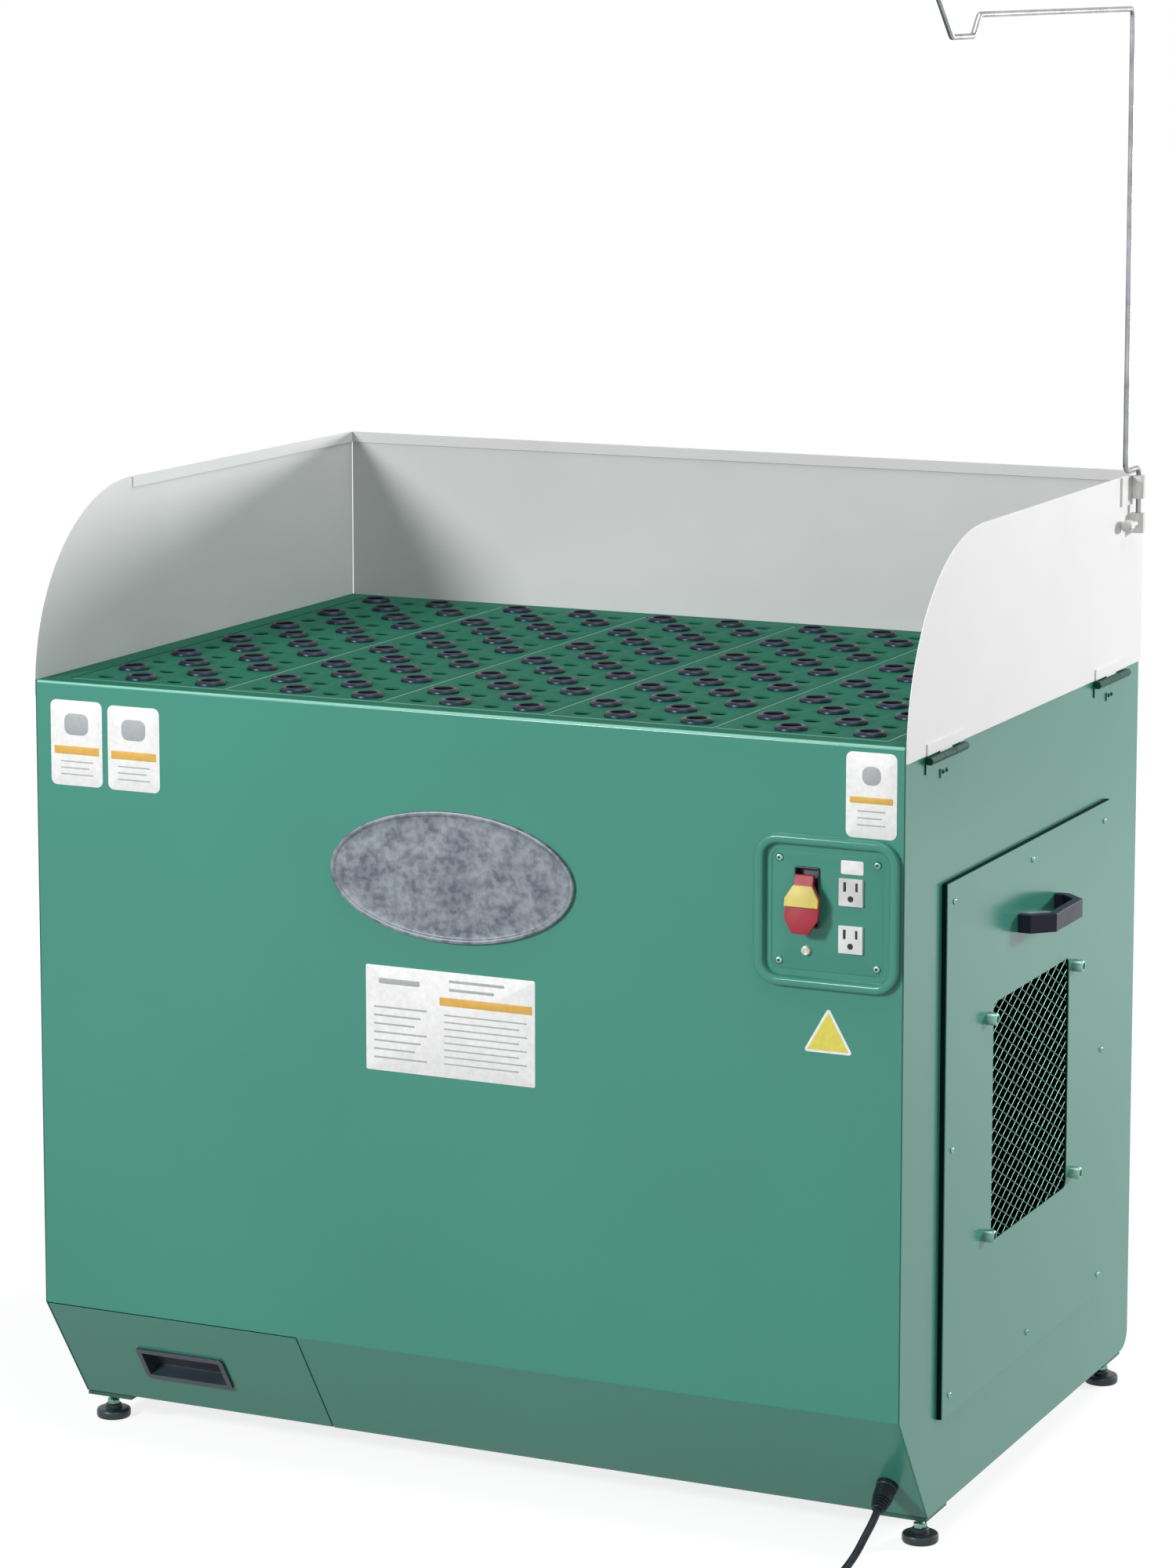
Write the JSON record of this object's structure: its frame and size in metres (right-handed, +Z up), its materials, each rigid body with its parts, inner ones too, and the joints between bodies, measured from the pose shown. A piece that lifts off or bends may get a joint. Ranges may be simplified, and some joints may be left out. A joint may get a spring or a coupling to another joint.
{
  "type": "downdraft table",
  "caption": "Sheet steel downdraft table with perforated top, rubber rings, fold-down splash guards, side exhaust, dust drawer, switch panel, outlets and hose hanger.",
  "frame": {"origin": "on the floor, under the middle of the box round everything but the cord, its coil and its plug", "axes": "+X to the table's right seen from the front, +Y to the back, +Z up"},
  "size_m": [1.051, 1.111, 1.5878],
  "materials": {
    "green_paint": "satin powder coat",
    "grey_paint": "satin powder coat",
    "galvanised": "bare galvanised sheet",
    "panel_paint": "satin powder coat",
    "grommet_rubber": "matt",
    "zinc_steel": "zinc plated",
    "black_plastic": "moulded",
    "pale_plastic": "moulded",
    "receptacle_plastic": "moulded",
    "red_plastic": "moulded",
    "yellow_plastic": "moulded",
    "foam": "closed-cell foam",
    "filter_paper": "pleated",
    "blower_steel": "painted",
    "motor_iron": "painted",
    "badge_metal": "mottled cast plate",
    "foot_rubber": "moulded",
    "cord_rubber": "cord jacket"
  },
  "bodies": {
    "cabinet": {"left_side_panel": "green_paint", "right_side_panel": "green_paint", "front_panel": "green_paint", "back_panel": "green_paint", "base_pan": "galvanised", "top_frame": "galvanised", "air_baffle": "galvanised", "panel_filter": "filter_paper", "filter_rails": "galvanised", "blower_housing": "blower_steel", "motor": "motor_iron", "control_bezel": "green_paint", "control_plate": "green_paint", "plate_screws": "zinc_steel", "junction_box": "galvanised", "switch_body": "black_plastic", "receptacles": "receptacle_plastic", "drawer_runners": "galvanised", "hinge_brackets": "green_paint", "badge_plate": "badge_metal", "strain_relief": "black_plastic", "power_cord": "cord_rubber", "cord_coil": "cord_rubber", "plug": "cord_rubber"},
    "panel_1": {"perforated_panel_1": "panel_paint", "rubber_grommets_1": "grommet_rubber"},
    "panel_2": {"perforated_panel_2": "panel_paint", "rubber_grommets_2": "grommet_rubber"},
    "panel_3": {"perforated_panel_3": "panel_paint", "rubber_grommets_3": "grommet_rubber"},
    "panel_4": {"perforated_panel_4": "panel_paint", "rubber_grommets_4": "grommet_rubber"},
    "panel_5": {"perforated_panel_5": "panel_paint", "rubber_grommets_5": "grommet_rubber"},
    "blower_wheel": {"blower_wheel": "blower_steel"},
    "drawer": {"drawer_tray": "galvanised", "drawer_front": "green_paint", "drawer_pull": "black_plastic"},
    "side_cover": {"side_cover": "green_paint", "cover_gasket": "foam", "cover_handle": "black_plastic", "cover_screws": "zinc_steel", "exhaust_mesh": "zinc_steel", "mesh_studs": "zinc_steel"},
    "left_guard": {"left_guard": "grey_paint", "left_guard_leaves": "green_paint"},
    "right_guard": {"right_guard": "grey_paint", "right_guard_leaves": "green_paint", "rod_fittings": "zinc_steel"},
    "back_guard": {"back_guard": "grey_paint", "back_guard_leaves": "green_paint"},
    "hanger_rod": {"hanger_rod": "zinc_steel"},
    "clamp_knob": {"clamp_knob": "pale_plastic"},
    "switch_toggle": {"switch_toggle": "red_plastic"},
    "switch_key": {"switch_key": "yellow_plastic"},
    "reset_button": {"reset_button": "pale_plastic"},
    "foot_front_left": {"foot_front_left": "foot_rubber"},
    "foot_front_right": {"foot_front_right": "foot_rubber"},
    "foot_back_left": {"foot_back_left": "foot_rubber"},
    "foot_back_right": {"foot_back_right": "foot_rubber"}
  },
  "joints": [
    {"name": "panel_1_lift", "type": "slide", "parent": "cabinet", "child": "panel_1", "axis": [0, 0, 1], "range_m": [0, 0.25]},
    {"name": "panel_2_lift", "type": "slide", "parent": "cabinet", "child": "panel_2", "axis": [0, 0, 1], "range_m": [0, 0.25]},
    {"name": "panel_3_lift", "type": "slide", "parent": "cabinet", "child": "panel_3", "axis": [0, 0, 1], "range_m": [0, 0.25]},
    {"name": "panel_4_lift", "type": "slide", "parent": "cabinet", "child": "panel_4", "axis": [0, 0, 1], "range_m": [0, 0.25]},
    {"name": "panel_5_lift", "type": "slide", "parent": "cabinet", "child": "panel_5", "axis": [0, 0, 1], "range_m": [0, 0.25]},
    {"name": "blower_spin", "type": "hinge", "parent": "cabinet", "child": "blower_wheel", "pos_m": [0.236, -0.0286, 0.215], "axis": [1, 0, 0], "continuous": true},
    {"name": "drawer_slide", "type": "slide", "parent": "cabinet", "child": "drawer", "axis": [0, -1, 0], "range_m": [0, 0.26]},
    {"name": "side_cover_off", "type": "slide", "parent": "cabinet", "child": "side_cover", "axis": [1, 0, 0], "range_m": [0, 0.15]},
    {"name": "left_guard_fold", "type": "hinge", "parent": "cabinet", "child": "left_guard", "pos_m": [-0.521, 0.0064, 0.828], "axis": [0, -1, 0], "range_deg": [0, 90]},
    {"name": "right_guard_fold", "type": "hinge", "parent": "cabinet", "child": "right_guard", "pos_m": [0.488, 0.0064, 0.828], "axis": [0, 1, 0], "range_deg": [0, 90]},
    {"name": "back_guard_fold", "type": "hinge", "parent": "cabinet", "child": "back_guard", "pos_m": [-0.0165, 0.3759, 0.828], "axis": [-1, 0, 0], "range_deg": [0, 90]},
    {"name": "hanger_swing", "type": "hinge", "parent": "right_guard", "child": "hanger_rod", "pos_m": [0.4931, 0.3314, 1.0225], "axis": [0, 0, 1], "range_deg": [-90, 90]},
    {"name": "knob_turn", "type": "hinge", "parent": "right_guard", "child": "clamp_knob", "pos_m": [0.4931, 0.2964, 0.995], "axis": [0, 1, 0], "continuous": true},
    {"name": "switch_rock", "type": "hinge", "parent": "cabinet", "child": "switch_toggle", "pos_m": [0.3795, -0.3531, 0.684], "axis": [1, 0, 0], "range_deg": [-12, 0]},
    {"name": "key_pull", "type": "slide", "parent": "switch_toggle", "child": "switch_key", "axis": [0, -1, 0], "range_m": [0, 0.015]},
    {"name": "reset_press", "type": "slide", "parent": "cabinet", "child": "reset_button", "axis": [0, 1, 0], "range_m": [0, 0.0025], "stiffness_N_per_m": 300, "springref_m": -0.001},
    {"name": "foot_front_left_screw", "type": "slide", "parent": "cabinet", "child": "foot_front_left", "axis": [0, 0, -1], "range_m": [0, 0.012]},
    {"name": "foot_front_right_screw", "type": "slide", "parent": "cabinet", "child": "foot_front_right", "axis": [0, 0, -1], "range_m": [0, 0.012]},
    {"name": "foot_back_left_screw", "type": "slide", "parent": "cabinet", "child": "foot_back_left", "axis": [0, 0, -1], "range_m": [0, 0.012]},
    {"name": "foot_back_right_screw", "type": "slide", "parent": "cabinet", "child": "foot_back_right", "axis": [0, 0, -1], "range_m": [0, 0.012]}
  ]
}
